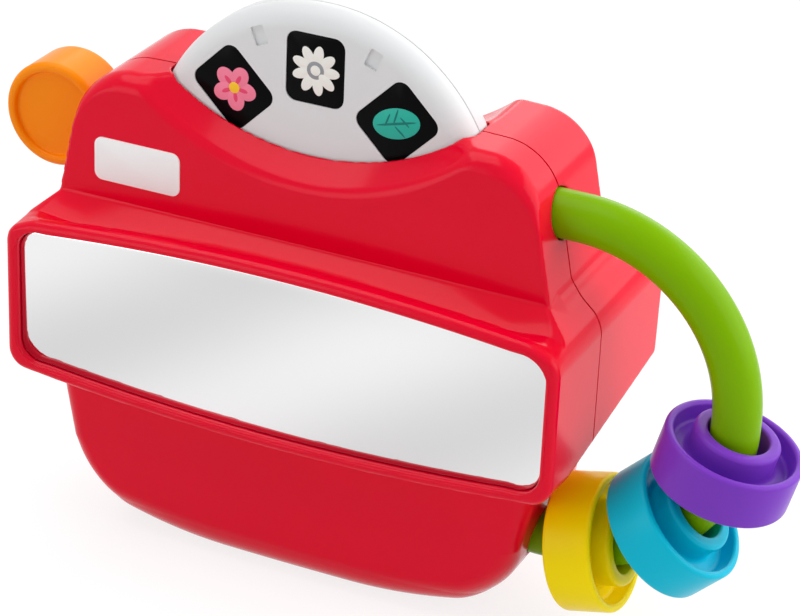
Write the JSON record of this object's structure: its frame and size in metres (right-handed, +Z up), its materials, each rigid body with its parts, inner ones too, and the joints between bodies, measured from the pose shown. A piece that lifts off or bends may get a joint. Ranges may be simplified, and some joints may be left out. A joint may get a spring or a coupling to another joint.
{
  "type": "toy picture viewer",
  "caption": "Hand-held toy picture viewer: two-part shell with a front mirror, turning picture disc, sprung side lever, eyepieces and a bead loop handle.",
  "frame": {"origin": "on the flat base, on the body's symmetry plane and on the parting plane between the two shells", "axes": "+Z up from the base, the mirror faces -Y, +X towards the bead loop"},
  "size_m": [0.1982, 0.076, 0.1384],
  "materials": {
    "red_shell": "glossy moulded",
    "mirror": "flat acrylic mirror",
    "white_board": "plain board",
    "white_label": "printed label stock, blank",
    "green_tube": "glossy moulded",
    "steel": "plain steel",
    "lens": "clear moulded",
    "eyecup": "soft satin",
    "white_disc": "satin moulded",
    "picture_card": "printed card",
    "orange_lever": "glossy moulded",
    "white_acetal": "plain moulded",
    "purple_bead": "glossy moulded",
    "teal_bead": "glossy moulded",
    "yellow_bead": "glossy moulded"
  },
  "bodies": {
    "body": {"front_shell": "red_shell", "rear_shell": "red_shell", "mirror_sheet": "mirror", "mirror_backing": "white_board", "label_plate": "white_label", "handle_loop": "green_tube", "disc_axle": "steel", "lever_pin": "steel", "lever_spring": "steel", "click_spring": "steel", "lens_left": "lens", "lens_right": "lens", "eyecup_left": "eyecup", "eyecup_right": "eyecup", "shell_screws": "steel"},
    "disc": {"disc_front": "white_disc", "disc_rear": "white_disc", "front_pictures": "picture_card", "rear_pictures": "picture_card", "ratchet_wheel": "orange_lever"},
    "lever": {"lever": "orange_lever", "pawl_arm": "white_acetal"},
    "bead_yellow": {"bead_yellow": "yellow_bead"},
    "bead_teal": {"bead_teal": "teal_bead"},
    "bead_purple": {"bead_purple": "purple_bead"}
  },
  "joints": [
    {"name": "disc_spin", "type": "hinge", "parent": "body", "child": "disc", "pos_m": [0, 0, 0.0961], "axis": [0, 1, 0], "continuous": true},
    {"name": "lever_press", "type": "hinge", "parent": "body", "child": "lever", "pos_m": [-0.0475, 0, 0.106], "axis": [0, -1, 0], "range_deg": [0, 12], "stiffness_Nm_per_rad": 0.25, "springref_deg": -11.46, "deforming": ["lever_spring"]},
    {"name": "bead_yellow_slide", "type": "hinge", "parent": "body", "child": "bead_yellow", "pos_m": [0.0615, 0, 0.0611], "axis": [0, -1, 0], "range_deg": [0, 16]},
    {"name": "bead_teal_slide", "type": "hinge", "parent": "bead_yellow", "child": "bead_teal", "pos_m": [0.0615, 0, 0.0611], "axis": [0, -1, 0], "range_deg": [0, 20]},
    {"name": "bead_purple_slide", "type": "hinge", "parent": "bead_teal", "child": "bead_purple", "pos_m": [0.0615, 0, 0.0611], "axis": [0, -1, 0], "range_deg": [0, 50]}
  ]
}
